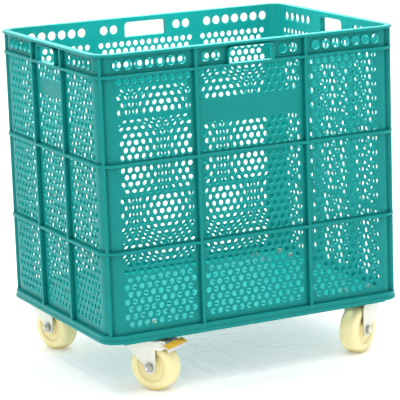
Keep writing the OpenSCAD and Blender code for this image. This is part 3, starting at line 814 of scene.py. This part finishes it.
def pivot_mesh():
    end = fork_out
    profile = [(0, -end - WASHER_T), (0.0045, -end - WASHER_T), (0.006, -end - 0.0008), (0.006, -end),
               (PIVOT_R, -end), (PIVOT_R, end),
               (0.006, end), (0.006, end + 0.0008), (0.0045, end + WASHER_T), (0, end + WASHER_T)]
    return moved(lathe(profile, 40), Matrix.Translation((pivot[0], 0, pivot[1])) @ FACING)


def make_casters():
    bodies = {n: o["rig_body"] for n, o in frame["nodes"].items()}
    for i in IDS:
        braked = i == "fl"
        king, hub = middle(f"kingpin_{i}"), middle(f"wheel_{i}")
        turn = math.atan2(hub.y - king.y, hub.x - king.x)
        upright = Matrix.Translation((king.x, king.y, 0))
        frame_at = upright @ Matrix.Rotation(turn, 4, "Z")
        axle = frame_at @ Matrix.Translation((trail, 0, axle_z)) @ FACING
        for name, made, at, slot in (
            ("top_plate", top_plate_mesh(), upright, "zinc_sheet"),
            ("kingpin", kingpin_mesh(), upright, "bolt_steel"),
            ("fork", fork_mesh(braked), frame_at, "zinc_sheet"),
            ("wheel", wheel_mesh(), axle, "wheel_nylon"),
            ("axle_bolt", axle_bolt_mesh(), axle, "bolt_steel"),
            ("axle_nut", axle_nut_mesh(), axle, "bolt_steel"),
        ):
            node = f"{name}_{i}"
            piece(f"{name}_detail_{i}", moved(made, at), bodies[node], slot, (node,))
        if braked:
            steel, cover = pedal_pieces()
            piece("brake_pedal_detail", moved(steel, frame_at), bodies["brake_pedal"], "pedal_steel",
                  ("brake_pedal",))
            piece("pedal_cover_detail", moved(cover, frame_at), bodies["pedal_cover"], "pedal_orange",
                  ("pedal_cover",))
            piece("brake_pivot_detail", moved(pivot_mesh(), frame_at), bodies["brake_pivot"], "bolt_steel",
                  ("brake_pivot",))
    for name, one in (("mounting_bolts", mounting_bolt_mesh()), ("mounting_nuts", mounting_nut_mesh())):
        copies = []
        for i in IDS:
            king = middle(f"kingpin_{i}")
            for x, y in BOLTS_AT:
                copy = one.copy()
                copies.append(moved(copy, Matrix.Translation((king.x + x, king.y + y, 0))))
        piece(f"{name}_detail", joined(copies), "root", "bolt_steel", (name,))


# ---------- Materials ----------
def material(slot, shades, patch, roughness, grain, depth, metallic=0.0, specular=0.5,
             crease_shade=None, reach=0.01):
    """Two close shades that drift into each other, uneven gloss and fine grain, with painted shade: the base
    colour darkens towards a set shade colour where ambient occlusion finds creases and recesses.
    """
    made = bpy.data.materials.new(slot)
    made.use_nodes = True
    nodes, link = made.node_tree.nodes, made.node_tree.links.new
    shader = nodes["Principled BSDF"]
    shader.inputs["Metallic"].default_value = metallic
    shader.inputs["Specular IOR Level"].default_value = specular
    where = nodes.new("ShaderNodeTexCoord")

    def noise(scale, detail):
        node = nodes.new("ShaderNodeTexNoise")
        node.inputs["Scale"].default_value, node.inputs["Detail"].default_value = scale, detail
        link(where.outputs["Object"], node.inputs["Vector"])
        return node.outputs["Fac"]

    shade = nodes.new("ShaderNodeMix")
    shade.data_type = "RGBA"
    for socket, color in zip([i for i in shade.inputs if i.type == "RGBA"], shades):
        socket.default_value = (*color, 1)
    link(noise(patch, 4), shade.inputs["Factor"])
    tone = [o for o in shade.outputs if o.type == "RGBA"][0]
    # Painted shade: an ambient occlusion mask darkens the base colour in creases, recesses and between
    # parts, standing in for shade.
    if crease_shade:
        shelter = nodes.new("ShaderNodeAmbientOcclusion")
        shelter.samples = 8
        shelter.inputs["Distance"].default_value = reach
        painted_shade = nodes.new("ShaderNodeMix")
        painted_shade.data_type = "RGBA"
        dark, light = [i for i in painted_shade.inputs if i.type == "RGBA"]
        dark.default_value = (*crease_shade, 1)
        link(tone, light)
        link(shelter.outputs["AO"], painted_shade.inputs["Factor"])
        tone = [o for o in painted_shade.outputs if o.type == "RGBA"][0]
    link(tone, shader.inputs["Base Color"])
    gloss = nodes.new("ShaderNodeMapRange")
    gloss.inputs["From Min"].default_value, gloss.inputs["From Max"].default_value = 0.3, 0.7
    gloss.inputs["To Min"].default_value, gloss.inputs["To Max"].default_value = roughness
    link(noise(patch * 5, 3), gloss.inputs["Value"])
    link(gloss.outputs["Result"], shader.inputs["Roughness"])
    bump = nodes.new("ShaderNodeBump")
    bump.inputs["Distance"].default_value, bump.inputs["Strength"].default_value = depth, 0.5
    link(noise(grain, 2), bump.inputs["Height"])
    link(bump.outputs["Normal"], shader.inputs["Normal"])
    return made


# The crate, wheel, zinc and bolt materials carry painted shade: their base colour darkens towards the darker
# colour passed for creases, in creases and recesses.
materials = {
    "crate_plastic": material("crate_plastic",
        [(0.004, 0.258, 0.243), (0.006, 0.288, 0.273)],
        9, (0.34, 0.46), 700, 0.0002, specular=0.15, crease_shade=(0.001, 0.12, 0.11), reach=0.012,
    ),
    "wheel_nylon": material("wheel_nylon",
        [(0.93, 0.82, 0.42), (0.97, 0.88, 0.52)],
        30, (0.35, 0.5), 900, 0.0002, specular=0.4, crease_shade=(0.50, 0.38, 0.05), reach=0.02,
    ),
    "zinc_sheet": material("zinc_sheet",
        [(0.80, 0.81, 0.74), (0.88, 0.87, 0.78)],
        60, (0.32, 0.5), 1500, 0.0001, 0.15, crease_shade=(0.35, 0.33, 0.26), reach=0.012,
    ),
    "bolt_steel": material("bolt_steel",
        [(0.62, 0.61, 0.56), (0.74, 0.73, 0.68)],
        150, (0.25, 0.45), 3000, 0.0001, 0.85, crease_shade=(0.03, 0.03, 0.025), reach=0.012,
    ),
    "ball_steel": material("ball_steel",
        [(0.60, 0.60, 0.60), (0.68, 0.68, 0.68)],
        200, (0.12, 0.22), 3000, 0.00005, 1.0,
    ),
    "pedal_steel": material("pedal_steel",
        [(0.66, 0.66, 0.63), (0.76, 0.75, 0.72)],
        80, (0.22, 0.4), 2000, 0.0001, 0.8,
    ),
    "pedal_orange": material("pedal_orange",
        [(0.74, 0.40, 0.02), (0.80, 0.47, 0.03)],
        60, (0.32, 0.45), 1500, 0.0001,
    ),
    "brake_rubber": material("brake_rubber",
        [(0.012, 0.012, 0.012), (0.022, 0.021, 0.020)],
        100, (0.6, 0.8), 1800, 0.0003,
    ),
}
for slot, weight, radius, scale in (
    ("wheel_nylon", 0.3, (1.0, 0.8, 0.3), 0.006),
    ("crate_plastic", 0.75, (0.15, 1.0, 0.95), 0.009),
):
    shader = materials[slot].node_tree.nodes["Principled BSDF"]
    shader.inputs["Subsurface Weight"].default_value = weight
    shader.inputs["Subsurface Radius"].default_value = radius
    shader.inputs["Subsurface Scale"].default_value = scale


make_camera()
make_stage()

for row in frame["record"]["subparts"]:
    o = frame["nodes"][row["node"]]
    o.data.materials.clear()
    o.data.materials.append(materials[row["material_slot"]])
make_crate()
make_floor()
make_casters()
